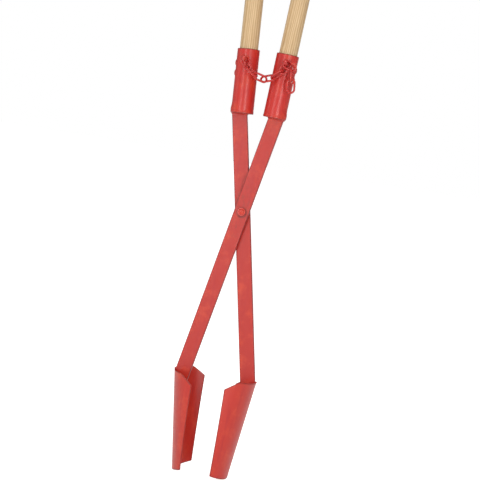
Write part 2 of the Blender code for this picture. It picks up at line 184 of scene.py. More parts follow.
class DiggerFinish(PropertyGroup):
    arm: hex_colour("Arms", "Enamel on the flat bars", "#BB2A1F")
    socket: hex_colour("Sockets", "Enamel on the tubes", "#C82D25")
    blade: hex_colour("Blades", "Enamel on the sheet", "#C63225")
    chain: hex_colour("Chain", "Dipped enamel on the chain and hooks", "#C02A26")
    bolt: hex_colour("Pivot", "Enamel brushed over the bolt and screws", "#CB3026")
    thin: hex_colour("Thin paint", "Where the enamel is thinner and warmer", "#D84A2C")
    thick: hex_colour("Thick paint", "Where the enamel is thicker and deeper", "#B02228")
    # painted shade: the colour of the dark line painted along each edge
    edge: hex_colour("Edges", "Where thin enamel on an edge lets the dark steel show",
                     "#6B1615")
    steel: hex_colour("Bare steel", "Steel where an edge is rubbed bare", "#6E6A67")
    grime: hex_colour("Grime", "Oily smears round the pivot", "#6E3429")
    # painted shadow: colour of the dark ring painted under the washers, and how far it reaches
    shadow_ring: hex_colour("Painted shadow", "Old grease under the washers", "#6B1615")
    shadow_ring_near: length("Grease near", "The grease is thickest within this of its middle", 0.0085)
    shadow_ring_far: length("Grease far", "The grease ends this far from its middle", 0.0135)
    early: hex_colour("Early wood", "Pale bands of the ash", "#DDC096")
    late: hex_colour("Late wood", "Darker bands of the ash", "#BC9464")
    pore: hex_colour("Pores", "Open pores of the ash", "#9A7448")


class DiggerStudio(PropertyGroup):
    floor: hex_colour("Floor", "Matt studio floor", "#F4F3F1")
    floor_gap: length("Floor gap", "Floor below the blades' tips", 0.0005)
    floor_size: length("Floor size", "Width of the floor", 120.0)
    floor_glow: FloatProperty(name="Floor glow", default=0.8,
                              description="Light that the floor adds to what the camera sees")
    floor_sheen: FloatProperty(name="Floor sheen", default=0.4,
                               description="Light that the floor adds to its own reflections")
    front: FloatProperty(name="Front", description="Power of the tall front strip", default=10.5)
    right: FloatProperty(name="Right", description="Power of the right strip", default=16.0)
    top: FloatProperty(name="Top", description="Power of the soft box overhead", default=10.0)
    back: FloatProperty(name="Back", description="Power of the soft box behind", default=9.0)
    left: FloatProperty(name="Left", description="Power of the left soft box", default=5.0)
    sky_front: FloatProperty(name="Sky in front", default=0.52,
                             description="Strength of the white surroundings in front")
    sky_back: FloatProperty(name="Sky behind", default=0.42,
                            description="Strength of the white surroundings behind")
    sky_rim: FloatProperty(name="Sky in reflections", default=0.12,
                           description="Strength of the surroundings behind, in reflections")
    eye: FloatVectorProperty(name="Camera", description="Where the camera stands",
                             default=(0.54736, -2.80183, 0.13124), subtype="TRANSLATION",
                             unit="LENGTH")
    azimuth: angle("Azimuth", "Camera round the tool, from the front", 10.957)
    elevation: angle("Elevation", "Camera above the point it looks at", 3.807)
    roll: angle("Roll", "Turn of the picture; the tool's top leans right", 9.32)
    lens: FloatProperty(name="Lens", description="Focal length in millimetres", default=103.16,
                        unit="CAMERA")


GROUPS = {"digger_arms": DiggerArms, "digger_sockets": DiggerSockets,
          "digger_blades": DiggerBlades, "digger_pivot": DiggerPivot,
          "digger_chain": DiggerChain, "digger_finish": DiggerFinish,
          "digger_studio": DiggerStudio}


# ---------------------------------------------------------------- surfaces

def grid_quads(rows, cols, wrap_rows, wrap_cols):
    """Quads of a grid: corners (r, c), (r, c+1), (r+1, c+1), (r+1, c), taken modulo
    the grid's size where it closes on itself."""
    r, c = np.meshgrid(np.arange(rows if wrap_rows else rows - 1),
                       np.arange(cols if wrap_cols else cols - 1), indexing="ij")
    r, c = r.ravel(), c.ravel()
    below, beside = (r + 1) % rows, (c + 1) % cols
    return np.stack([r * cols + c, r * cols + beside, below * cols + beside,
                     below * cols + c], axis=1)


def outward(points, faces):
    """The faces, turned round if the volume they enclose, the sum of a.(b x c)/6 over
    their triangles, is negative."""
    total = 0.0
    for group in faces:
        for k in range(1, group.shape[1] - 1):
            a, b, c = points[group[:, 0]], points[group[:, k]], points[group[:, k + 1]]
            total += np.einsum("ij,ij->i", a, np.cross(b, c)).sum()
    return [group[:, ::-1] for group in faces] if total < 0 else faces


def make_piece(name, points, faces, body, material, replaces=(), wear=None, sharp=50):
    """A mesh object from whole arrays: points (n, 3) and groups of faces."""
    points = np.asarray(points, float).reshape(-1, 3)
    middle = points.mean(axis=0)
    groups = outward(points - middle, faces)
    mesh = bpy.data.meshes.new(name)
    mesh.from_pydata(points.tolist(), [], [face for group in groups for face in group.tolist()])
    mesh.shade_smooth()
    mesh.set_sharp_from_angle(angle=radians(sharp))
    worn = mesh.attributes.new("edge_wear_and_shade", "FLOAT", "POINT")
    if wear is not None:
        worn.data.foreach_set("value", np.asarray(wear, np.float32).ravel())
    mesh.materials.append(material)
    piece = bpy.data.objects.new(name, mesh)
    bpy.context.scene.collection.objects.link(piece)
    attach(piece, body)
    if replaces:
        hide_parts(*replaces)
    return piece


def skin(rings, closed=False, ends=None):
    """Points and faces of a skin over m rings of n points: a loop if closed, or else
    each end is a fan to its own point, the ring's middle unless it is given."""
    m, n = rings.shape[:2]
    points = rings.reshape(-1, 3)
    if closed:
        return points, [grid_quads(m, n, True, True)]
    ends = ends or (rings[0].mean(axis=0), rings[-1].mean(axis=0))
    around = np.arange(n)
    first = np.stack([np.full(n, m * n), (around + 1) % n, around], axis=1)
    last = np.stack([np.full(n, m * n + 1), (m - 1) * n + around,
                     (m - 1) * n + (around + 1) % n], axis=1)
    return np.vstack([points, ends[0], ends[1]]), [grid_quads(m, n, False, True),
                                                   np.vstack([first, last])]


def placed(points, matrix):
    """Points times a 4 x 4 matrix."""
    m = np.array(matrix)
    return points @ m[:3, :3].T + m[:3, 3]


def soften(corners, cuts, steps=6):
    """A polyline whose corners become parabolas: between the points at the cut's
    distance before and after a corner P, (1-t)^2 A + 2t(1-t) P + t^2 B."""
    corners = np.asarray(corners, float)
    t = np.linspace(0, 1, steps)[:, None]
    line = [corners[:1]]
    for before, here, after, cut in zip(corners, corners[1:], corners[2:], cuts):
        a = here + (before - here) * cut / np.linalg.norm(before - here)
        b = here + (after - here) * cut / np.linalg.norm(after - here)
        line.append((1 - t) ** 2 * a + 2 * t * (1 - t) * here + t ** 2 * b)
    return np.vstack(line + [corners[-1:]])


def resample(line, spacing):
    """The same polyline with no step longer than the spacing."""
    steps = np.linalg.norm(np.diff(line, axis=0), axis=1)
    counts = np.maximum(1, np.ceil(steps / spacing)).astype(int)
    where = np.concatenate([k + np.arange(c) / c for k, c in enumerate(counts)] + [[len(steps)]])
    return np.stack([np.interp(where, np.arange(len(line)), axis) for axis in line.T], axis=1)


def turned(profile, around, push=None):
    """A turned surface: (r cos a, r sin a, z) for each profile point (r, z) and angle a.
    The first and last profile points lie on the axis. push(a, z) is added to r."""
    angles = np.linspace(0, 2 * pi, around, endpoint=False)[None, :]
    r, z = profile[1:-1, :1], profile[1:-1, 1:]
    if push:
        r = r + push(angles, z, r)
    rings = np.stack([r * np.cos(angles), r * np.sin(angles),
                      np.broadcast_to(z, (len(z), around))], axis=2)
    return skin(rings, ends=([0, 0, profile[0, 1]], [0, 0, profile[-1, 1]]))


def ring_turned(profile, around):
    """A closed profile carried round Z: (r cos a, r sin a, z)."""
    angles = np.linspace(0, 2 * pi, around, endpoint=False)[None, :]
    r, z = profile[:, :1], profile[:, 1:]
    return skin(np.stack([r * np.cos(angles), r * np.sin(angles),
                          np.broadcast_to(z, (len(z), around))], axis=2), closed=True)


def swept(path, radius, plane, around, closed=False, turn=None):
    """A round section carried along a plane path: P + r (n cos a + b sin a), where b is
    the plane's normal and n is square to it and to the path. radius is a number, one
    for each point, or one for each point and angle."""
    if closed:
        along = np.roll(path, -1, axis=0) - np.roll(path, 1, axis=0)
    else:
        along = np.gradient(path, axis=0)
    along /= np.linalg.norm(along, axis=1)[:, None]
    b = np.asarray(plane, float)
    n = np.cross(b, along)
    angles = np.linspace(0, 2 * pi, around, endpoint=False)
    radius = np.broadcast_to(np.asarray(radius, float).reshape(
        (-1, 1) if np.ndim(radius) < 2 else np.shape(radius)), (len(path), around))
    rings = (path[:, None, :] + radius[..., None] * (np.cos(angles)[None, :, None] * n[:, None, :]
                                                     + np.sin(angles)[None, :, None] * b))
    return skin(rings, closed=closed)


def travelled(path):
    """Distance along a path at each of its points."""
    steps = np.linalg.norm(np.diff(path, axis=0), axis=1)
    return np.concatenate([[0.0], np.cumsum(steps)])


def bead(path, size, pitch, plane, closed=False):
    """A weld bead: a round section whose radius swells with each ripple,
    size (1 + 0.13 sin(2 pi s / pitch + cos a) + 0.06 sin(2 pi s / 17 mm))."""
    path = resample(path, pitch / 8)
    if closed:
        path = path[:-1]
    s = travelled(path)[:, None]
    around = 16
    a = np.linspace(0, 2 * pi, around, endpoint=False)[None, :]
    radius = size * (1 + 0.13 * np.sin(2 * pi * s / pitch + 1.4 * np.cos(a))
                     + 0.06 * np.sin(2 * pi * s / 0.017 + 1.0))
    if not closed:
        fade = np.clip(np.minimum(s, s[-1] - s) / (size * 1.2), 0.0, 1.0)
        radius = radius * np.sqrt(1 - (1 - fade) ** 2).clip(0.08, 1)
    return swept(path, radius, plane, around, closed=closed)


# ---------------------------------------------------------------- plan of one half

def meet(point, direction, base, normal):
    """Where a line meets the line through base with that normal."""
    return point + direction * (np.dot(base - point, normal) / np.dot(direction, normal))


def plan_half():
    """Points and directions of the front half in the x-z plane."""
    arms, sockets, blades = (getattr(bpy.context.scene, key) for key in
                             ("digger_arms", "digger_sockets", "digger_blades"))
    upright = arms.lean - arms.bend
    p = SimpleNamespace()
    p.along = np.array([sin(arms.lean), cos(arms.lean)])
    p.across = np.array([cos(arms.lean), -sin(arms.lean)])
    p.socket_up = np.array([sin(upright), cos(upright)])
    p.socket_in = np.array([-cos(upright), sin(upright)])
    p.mouth = p.along * arms.to_socket + p.socket_in * sockets.inset
    p.web_down = np.array([sin(blades.toe_in), -cos(blades.toe_in)])
    p.web_in = np.array([cos(blades.toe_in), sin(blades.toe_in)])
    p.web_top = (-p.along * arms.to_blade - p.across * arms.bar_width / 2
                 - np.array([blades.offset, 0.0]))
    p.depth = (arms.spacing + arms.bar_thickness) / 2
    return p


def socket_place(side):
    """The socket's own frame: Z along it, X to the right, at its mouth."""
    p, arms = plan_half(), bpy.context.scene.digger_arms
    return (Matrix.Translation((side * p.mouth[0], -side * p.depth, p.mouth[1]))
            @ Matrix.Rotation(side * (arms.lean - arms.bend), 4, "Y"))


def from_plan(points, y, side):
    """Plan points (x, z) at depth y as 3-D points; the back half is mirrored in x and y."""
    points = np.asarray(points, float)
    y = np.broadcast_to(y, points.shape[:-1])
    return np.stack([side * points[..., 0], side * y, points[..., 1]], axis=-1)


def bar_section(corner, thickness, narrow_wear_and_shade, flat_steps=8, corner_steps=5):
    """Round a rectangle with rounded corners: for each point its share of the way from
    the left edge to the right one, its distance from that share, and its y; and the edge
    mask there, for edge wear and the painted edge shade, which falls to
    narrow_wear_and_shade across the narrow faces."""
    a = np.linspace(0, pi / 2, corner_steps)
    share_flat = np.concatenate([[0.012], np.linspace(0.06, 0.94, flat_steps), [0.988]])
    y = thickness / 2
    right_front = (np.ones_like(a), corner * (np.sin(a) - 1), -y + corner * (1 - np.cos(a)))
    right_back = (np.ones_like(a), corner * (np.cos(a) - 1), y - corner * (1 - np.sin(a)))
    left_back = (np.zeros_like(a), corner * (1 - np.sin(a)), y - corner * (1 - np.cos(a)))
    left_front = (np.zeros_like(a), corner * (1 - np.cos(a)), -y + corner * (1 - np.sin(a)))
    none = np.zeros_like(share_flat)
    front = (share_flat, corner * (1 - 2 * share_flat), none - y)
    back = (share_flat[::-1], corner * (1 - 2 * share_flat[::-1]), none + y)
    order = (front, right_front, right_back, back, left_back, left_front)
    section = [np.concatenate(part) for part in zip(*order)]
    # worn and painted with edge shade most where a corner meets the wide face, and little across
    # the narrow face
    fade = np.linspace(1.0, narrow_wear_and_shade, corner_steps)
    edge = np.concatenate([none, fade, fade[::-1], none, fade, fade[::-1]])
    return section, edge


# ---------------------------------------------------------------- materials

def linear(code):
    """An sRGB hex colour as linear RGBA: c/12.92 below 0.04045, else ((c+0.055)/1.055)^2.4."""
    values = [int(code[k:k + 2], 16) / 255 for k in (1, 3, 5)]
    return [v / 12.92 if v <= 0.04045 else ((v + 0.055) / 1.055) ** 2.4 for v in values] + [1.0]


def add_node(tree, kind, inputs, output=0, **settings):
    """One node with its settings and links: an input is a value or the socket that
    feeds it. Gives back one of its outputs, or None where it has none."""
    node = tree.nodes.new("ShaderNode" + kind)
    for key, value in settings.items():
        setattr(node, key, value)
    for key, value in inputs.items():
        if isinstance(value, bpy.types.NodeSocket):
            tree.links.new(value, node.inputs[key])
        else:
            node.inputs[key].default_value = value
    return node.outputs[output] if node.outputs else None


def blank_material(name):
    material = bpy.data.materials.new(name)
    material.use_nodes = True
    material.node_tree.nodes.clear()
    return material, material.node_tree


def enamel(name, colour, gloss, streak, smear_and_shade, wear, relief):
    """Alkyd enamel on steel. It gives the eye a satin red that is a little warmer where
    the film is thin and deeper where it ran thick, the fine dimples of sprayed paint,
    faint lines of the rolled steel under it, a dark line painted along each edge as
    painted shade, and bare steel in the chips there. gloss is the roughness, streak how
    much the runs are drawn out along Z, smear_and_shade the strength of the oily marks
    near the pivot, which come with a ring of painted shadow under the washers, wear the
    share of bare steel in the chips and relief the height of the film's bumps."""
    finish = bpy.context.scene.digger_finish
    material, tree = blank_material(name)
    smooth = {"interpolation_type": "SMOOTHSTEP"}
    where = add_node(tree, "TexCoord", {}, "Object")
    drawn = add_node(tree, "Mapping", {"Vector": where, "Scale": (1.0, 1.0, streak)})
    # patches of 34 mm, runs of 9 mm, orange peel of 1.7 mm and pits of 5 mm and less
    film = add_node(tree, "TexNoise", {
        "Vector": where, "Scale": 1000 / 34, "Detail": 4.0, "Roughness": 0.6})
    runs = add_node(tree, "TexNoise", {"Vector": drawn, "Scale": 1000 / 9, "Detail": 3.0})
    peel = add_node(tree, "TexNoise", {"Vector": where, "Scale": 1000 / 1.7, "Detail": 2.0})
    pits = add_node(tree, "TexNoise", {
        "Vector": where, "Scale": 1000 / 5, "Detail": 5.0, "Roughness": 0.65})
    thin = add_node(tree, "MapRange", {0: film, 1: 0.48, 2: 0.74, 3: 0.0, 4: 0.65}, **smooth)
    thick = add_node(tree, "MapRange", {0: runs, 1: 0.50, 2: 0.78, 3: 0.0, 4: 0.50}, **smooth)
    red = add_node(tree, "Mix", {0: thin, 6: linear(colour), 7: linear(finish.thin)}, 2,
                   data_type="RGBA")
    red = add_node(tree, "Mix", {0: thick, 6: red, 7: linear(finish.thick)}, 2, data_type="RGBA")
    if smear_and_shade:
        # oily finger marks in a patch 34 mm across, drawn out along the arms
        near = add_node(tree, "VectorMath", {0: where, 1: (1.0, 0.0, 0.35)},
                        operation="MULTIPLY")
        near = add_node(tree, "VectorMath", {0: near}, 1, operation="LENGTH")
        near = add_node(tree, "MapRange", {0: near, 1: 0.010, 2: 0.034, 3: smear_and_shade, 4: 0.0},
                        **smooth)
        marks = add_node(tree, "TexNoise", {
            "Vector": add_node(tree, "Mapping", {"Vector": where, "Scale": (1.0, 1.0, 0.45)}),
            "Scale": 1000 / 7, "Detail": 5.0, "Roughness": 0.7})
        marks = add_node(tree, "MapRange", {0: marks, 1: 0.46, 2: 0.68, 3: 0.0, 4: 1.0}, **smooth)
        marks = add_node(tree, "Math", {0: near, 1: marks}, operation="MULTIPLY")
        red = add_node(tree, "Mix", {0: marks, 6: red, 7: linear(finish.grime)}, 2,
                       data_type="RGBA")
        # painted shadow: a dark ring round the washers at both ends of the bolt, its middle 2 mm
        # below the bolt's, where the head and washers cast their shadow
        ring = add_node(tree, "VectorMath", {0: where, 1: (1.0, 0.0, 1.0), 2: (-0.001, 0.0, 0.002)},
                        operation="MULTIPLY_ADD")
        ring = add_node(tree, "VectorMath", {0: ring}, 1, operation="LENGTH")
        ring = add_node(tree, "MapRange", {0: ring, 1: finish.shadow_ring_near, 2: finish.shadow_ring_far,
                                           3: 0.7, 4: 0.0}, **smooth)
        red = add_node(tree, "Mix", {0: ring, 6: red, 7: linear(finish.shadow_ring)}, 2,
                       data_type="RGBA")
    edge = add_node(tree, "Attribute", {}, "Fac", attribute_name="edge_wear_and_shade")
    # painted shade: a dark line along each edge, as strong as the edge mask
    line = add_node(tree, "Math", {0: edge, 1: 0.9}, operation="MULTIPLY")
    red = add_node(tree, "Mix", {0: line, 6: red, 7: linear(finish.edge)}, 2, data_type="RGBA")
    chips = add_node(tree, "TexNoise", {
        "Vector": where, "Scale": 1000 / 3.2, "Detail": 6.0, "Roughness": 0.75})
    chips = add_node(tree, "MapRange", {0: chips, 1: 0.57, 2: 0.64, 3: 0.0, 4: wear}, **smooth)
    bare = add_node(tree, "Math", {0: edge, 1: chips}, operation="MULTIPLY")
    red = add_node(tree, "Mix", {0: bare, 6: red, 7: linear(finish.steel)}, 2, data_type="RGBA")
    rough = add_node(tree, "MapRange", {0: pits, 1: 0.30, 2: 0.72, 3: gloss - 0.06,
                                        4: gloss + 0.08}, **smooth)
    rough = add_node(tree, "Math", {0: bare, 1: 0.10, 2: rough}, operation="MULTIPLY_ADD")
    metal = add_node(tree, "Math", {0: bare, 1: 0.8}, operation="MULTIPLY")
    bump = add_node(tree, "Bump", {"Height": runs, "Strength": 0.5, "Distance": relief})
    bump = add_node(tree, "Bump", {
        "Height": peel, "Strength": 0.6, "Distance": relief * 0.4, "Normal": bump})
    bump = add_node(tree, "Bump", {
        "Height": pits, "Strength": 0.4, "Distance": relief, "Normal": bump})
    bump = add_node(tree, "Bump", {
        "Height": bare, "Strength": 0.6, "Distance": 0.0002, "Normal": bump}, invert=True)
    shader = add_node(tree, "BsdfPrincipled", {
        "Base Color": red, "Roughness": rough, "IOR": 1.5, "Metallic": metal, "Normal": bump})
    add_node(tree, "OutputMaterial", {"Surface": shader})
    return material


def ash_wood(name, place):
    """Straight-grained ash, turned and sanded. Its rings run along the handle: pale
    early wood with short open pores, and darker late wood that stops sharply. It gives
    the eye soft stripes along the handle and a dull, slightly silky surface."""
    finish = bpy.context.scene.digger_finish
    material, tree = blank_material(name)
    smooth = {"interpolation_type": "SMOOTHSTEP"}
    # the handle's own axes: the inverse of its place
    turn = place.inverted()
    own = add_node(tree, "Mapping", {
        "Vector": add_node(tree, "TexCoord", {}, "Object"),
        "Location": turn.to_translation(), "Rotation": turn.to_euler()})
    # the grain wanders by up to 12 mm over a third of a metre
    wander = add_node(tree, "TexNoise", {
        "Vector": add_node(tree, "Mapping", {"Vector": own, "Scale": (1.0, 1.0, 0.10)}),
        "Scale": 1000 / 33, "Detail": 2.0}, "Color")
    bent = add_node(tree, "VectorMath", {0: wander, 1: (0.012, 0.012, 0.0), 2: own},
                    operation="MULTIPLY_ADD")
    # the pith lies 60 mm beside the handle, so the rings cross it as gentle arcs
    beside = add_node(tree, "VectorMath", {0: bent, 1: (0.048, 0.036, 0.0)}, operation="ADD")
    # rings 4.2 mm apart, twice the real width, so that they show
    rings = add_node(tree, "TexWave", {
        "Vector": beside, "Scale": 0.314 / 0.0042, "Distortion": 0.6, "Detail": 1.0,
        "Detail Scale": 0.5}, "Fac", wave_type="RINGS", rings_direction="Z", wave_profile="SAW")
    late = add_node(tree, "MapRange", {0: rings, 1: 0.35, 2: 1.0, 3: 0.0, 4: 0.9}, **smooth)
    early = add_node(tree, "MapRange", {0: rings, 1: 0.05, 2: 0.55, 3: 1.0, 4: 0.25}, **smooth)
    # fibres 2.6 mm wide and pores 1.1 mm wide, drawn coarse so that they show
    fibre = add_node(tree, "TexNoise", {
        "Vector": add_node(tree, "Mapping", {"Vector": own, "Scale": (1.0, 1.0, 0.025)}),
        "Scale": 1000 / 2.6, "Detail": 4.0, "Roughness": 0.6})
    pores = add_node(tree, "TexNoise", {
        "Vector": add_node(tree, "Mapping", {"Vector": own, "Scale": (1.0, 1.0, 0.06)}),
        "Scale": 1000 / 1.1, "Detail": 2.0})
    pores = add_node(tree, "MapRange", {0: pores, 1: 0.62, 2: 0.72, 3: 0.0, 4: 0.6}, **smooth)
    blotch = add_node(tree, "TexNoise", {
        "Vector": add_node(tree, "Mapping", {"Vector": own, "Scale": (1.0, 1.0, 0.35)}),
        "Scale": 1000 / 60, "Detail": 2.0})
    streaks = add_node(tree, "MapRange", {0: fibre, 1: 0.42, 2: 0.70, 3: 0.0, 4: 0.55}, **smooth)
    pale = add_node(tree, "MapRange", {0: blotch, 1: 0.45, 2: 0.75, 3: 0.0, 4: 0.35}, **smooth)
    open_pores = add_node(tree, "Math", {0: pores, 1: early}, operation="MULTIPLY")
    wood = linear(finish.early)
    for share, tint in ((late, finish.late), (streaks, finish.late), (pale, finish.early),
                        (open_pores, finish.pore)):
        wood = add_node(tree, "Mix", {0: share, 6: wood, 7: linear(tint)}, 2, data_type="RGBA")
    dull = add_node(tree, "MapRange", {0: fibre, 1: 0.3, 2: 0.7, 3: 0.50, 4: 0.64})
    bump = add_node(tree, "Bump", {"Height": fibre, "Strength": 0.45, "Distance": 0.0002})
    bump = add_node(tree, "Bump", {
        "Height": pores, "Strength": 0.5, "Distance": 0.0002, "Normal": bump}, invert=True)
    shader = add_node(tree, "BsdfPrincipled", {
        "Base Color": wood, "Roughness": dull, "IOR": 1.45, "Normal": bump})
    add_node(tree, "OutputMaterial", {"Surface": shader})
    return material


def finish_of(slot):
    """The enamel for a material slot, made once."""
    finish = bpy.context.scene.digger_finish
    name, settings = {
        "arm_paint": ("sprayed_enamel_on_flat_bar", (finish.arm, 0.38, 0.06, 0.3, 0.5, 2e-4)),
        "socket_paint": ("sprayed_enamel_on_tube", (finish.socket, 0.34, 0.15, 0.0, 0.45, 5e-5)),
        "blade_paint": ("sprayed_enamel_on_sheet", (finish.blade, 0.37, 0.12, 0.0, 0.8, 2e-4)),
        "chain_paint": ("dipped_enamel_on_chain", (finish.chain, 0.26, 0.60, 0.0, 0.3, 5e-5)),
        "bolt_paint": ("brushed_enamel_on_bolt", (finish.bolt, 0.26, 0.60, 0.0, 0.4, 5e-5)),
    }[slot]
    return bpy.data.materials.get(name) or enamel(name, *settings)


# ---------------------------------------------------------------- arms

def arm_edges():
    """Left and right edge of the front arm in plan, from the tongue down to the tang's
    tip, at matching stations."""
    arms, blades, sockets = (getattr(bpy.context.scene, key) for key in
                             ("digger_arms", "digger_blades", "digger_sockets"))
    p, half = plan_half(), arms.bar_width / 2
    right_edge = p.across * half
    left_in = half - sockets.inset
    inside = [(p.mouth + p.socket_in * left_in + p.socket_up * arms.tongue,
               p.mouth - p.socket_in * 0.018 + p.socket_up * arms.tongue),
              (p.mouth + p.socket_in * left_in + p.socket_up * 0.0004,
               p.mouth - p.socket_in * 0.018 + p.socket_up * 0.0004)]
    top_left = meet(-right_edge, p.along, p.mouth, p.socket_up)
    top_right = meet(right_edge, p.along, p.mouth, p.socket_up)
    notch = meet(-right_edge, -p.along, p.web_top, p.web_down)
    seat = p.web_top + p.web_in * (blades.thickness + 0.0004)
    notch_right = meet(right_edge, -p.along, notch, p.web_down)
    # straight bar, then the tang, whose left edge lies along the web
    t = np.linspace(0, 1, 120)[:, None]
    straight_left, straight_right = (top_left + (notch - top_left) * t,
                                     top_right + (notch_right - top_right) * t)
    down = np.linspace(0.0, arms.tang, 30)[:, None]
    tang_left = seat + p.web_down * down
    slope = np.dot(-p.along, p.web_in) / np.dot(-p.along, p.web_down)
    wide = np.dot(notch_right - seat, p.web_in) + slope * down
    tang_right = tang_left + p.web_in * np.maximum(wide, arms.tang_tip)
    left = np.vstack([[a for a, _ in inside], straight_left, tang_left])
    right = np.vstack([[b for _, b in inside], straight_right, tang_right])
    return left, right


def bar_skin(left, right, side):
    """The bar between its two edges: L + (R - L) share + w d, at y, where w points from
    L to R, and share, d and y run round the rounded section."""
    arms = bpy.context.scene.digger_arms
    p = plan_half()
    (share, off, y), edge = bar_section(arms.corner, arms.bar_thickness, arms.narrow_wear_and_shade)
    across = right - left
    unit = across / np.linalg.norm(across, axis=1)[:, None]
    plan = (left[:, None, :] + across[:, None, :] * share[None, :, None]
            + unit[:, None, :] * off[None, :, None])
    rings = from_plan(plan, y[None, :] - p.depth, side)
    points, faces = skin(rings)
    wear = np.concatenate([np.tile(edge, len(left)), [arms.narrow_wear_and_shade] * 2])
    return points, faces, wear


def mouth_weld(side):
    """Bead round the bar where it enters the socket: a loop of a rectangle with rounded
    corners in the socket's lower plane."""
    arms, sockets = bpy.context.scene.digger_arms, bpy.context.scene.digger_sockets
    half, thick = arms.bar_width / 2, arms.bar_thickness / 2
    left, right = -(half - sockets.inset), half + sockets.inset
    corners = [((left + right) / 2, -thick), (right, -thick), (right, thick), (left, thick),
               (left, -thick), ((left + right) / 2, -thick)]
    loop = soften([(x * side, y) for x, y in corners], [0.003] * 4)
    path = np.column_stack([loop, np.full(len(loop), -0.0002)])
    points, faces = bead(path, arms.weld * 0.82, arms.ripple, (0, 0, 1), closed=True)
    return placed(points, socket_place(side)), faces


def tang_weld(side, face):
    """Bead in the corner between the tang's face and the web, down the tang; face is -1
    for the front of the bar and +1 for its back."""
    arms, blades = bpy.context.scene.digger_arms, bpy.context.scene.digger_blades
    p = plan_half()
    y = face * (arms.bar_thickness / 2 + 0.0004)
    t = np.linspace(0.004, arms.tang + 0.001, 12)[:, None]
    seat = p.web_top + p.web_in * (blades.thickness + 0.0006)
    points, faces = bead(np.column_stack([seat + p.web_down * t, np.full(len(t), y)]),
                         arms.weld, arms.ripple, (0, 0, 1))
    return from_plan(points[:, :2], points[:, 2] - p.depth, side), faces


def crown_weld(side):
    """Short bead over the top of the web, where the bar's edge meets it."""
    arms = bpy.context.scene.digger_arms
    p = plan_half()
    t = np.linspace(-1, 1, 9)[:, None]
    base = p.web_top + p.web_in * 0.0016 - p.web_down * 0.0004
    path = np.column_stack([np.repeat(base[None], 9, axis=0), t * 0.0052])
    points, faces = bead(path, arms.weld * 0.75, arms.ripple, p.web_in.tolist() + [0.0])
    return from_plan(points[:, :2], points[:, 2] - p.depth, side), faces


class DIGGER_OT_arms(Operator):
    """Flat bars with rounded corners, tapered tangs and their weld beads"""
    bl_idname = "digger.arms"
    bl_label = "Arms"

    def execute(self, context):
        paint = finish_of("arm_paint")
        left, right = arm_edges()
        for half in HALVES:
            points, faces, wear = bar_skin(left, right, half.side)
            make_piece(half.arm + "_bar", points, faces, half.body, paint,
                       [half.arm], wear)
            for name, (points, faces) in (
                    ("_mouth_weld", mouth_weld(half.side)),
                    ("_front_tang_weld", tang_weld(half.side, -1)),
                    ("_back_tang_weld", tang_weld(half.side, 1)),
                    ("_crown_weld", crown_weld(half.side))):
                make_piece(half.arm + name, points, faces, half.body, paint)
        return {"FINISHED"}


# ---------------------------------------------------------------- sockets and handles

class DIGGER_OT_sockets(Operator):
    """Turned tubes with a rounded lower rim that bulges at the welded outer corner"""
    bl_idname = "digger.sockets"
    bl_label = "Sockets"

    def execute(self, context):
        s = context.scene.digger_sockets
        lip = s.radius + s.lip
        corners = [(0, s.floor), (s.bore, s.floor), (s.bore, s.tall), (s.radius, s.tall),
                   (s.radius, 0.0052), (lip, 0.0036), (lip, 0.0), (0, 0)]
        profile = resample(soften(corners, (0.001, 0.0006, 0.0008, 0.0008, 0.0008, 0.0016), 8),
                           0.001)
        for half in HALVES:
            def push(a, z, r, outer=0.0 if half.side > 0 else pi):
                """The outer corner's swelling: bulge exp(-(z-8 mm)^2/(7 mm)^2) exp(-(a/0.75)^2)."""
                away = np.angle(np.exp(1j * (a - outer)))
                shell = (r > s.bore * 0.99) & (z < s.tall - 0.004)
                swell = s.bulge * np.exp(-((z - 0.008) / 0.0075) ** 2 - (away / 0.75) ** 2)
                return np.where(shell, swell * np.clip((r - s.bore * 0.9) / (s.radius * 0.12),
                                                       0, 1), 0)
            points, faces = turned(profile, 128, push)
            z = points[:, 2]
            # edge mask at both rims, for worn chips and the painted edge shade
            wear = np.exp(-((s.tall - z) / 0.0012) ** 2) + 0.7 * np.exp(-(z / 0.002) ** 2)
            make_piece(half.socket + "_tube", placed(points, socket_place(half.side)), faces,
                       half.body, finish_of("socket_paint"), [half.socket], wear)
        return {"FINISHED"}


class DIGGER_OT_handles(Operator):
    """Round ash handles with a rounded upper end"""
    bl_idname = "digger.handles"
    bl_label = "Handles"

    def execute(self, context):
        s = context.scene.digger_sockets
        r, tall = s.handle_radius, s.handle_length
        corners = [(0, tall), (r, tall), (r, 0.002), (r - 0.002, 0), (0, 0)]
        profile = resample(soften(corners, (s.handle_round, 0.0006, 0.0006), 12), 0.012)
        for half in HALVES:
            place = socket_place(half.side) @ Matrix.Translation((0, 0, s.handle_seat))
            points, faces = turned(profile, 96)
            make_piece(half.handle + "_shaft", placed(points, place), faces, half.body,
                       ash_wood(f"sanded_ash_{half.where}", place), [half.handle])
        return {"FINISHED"}


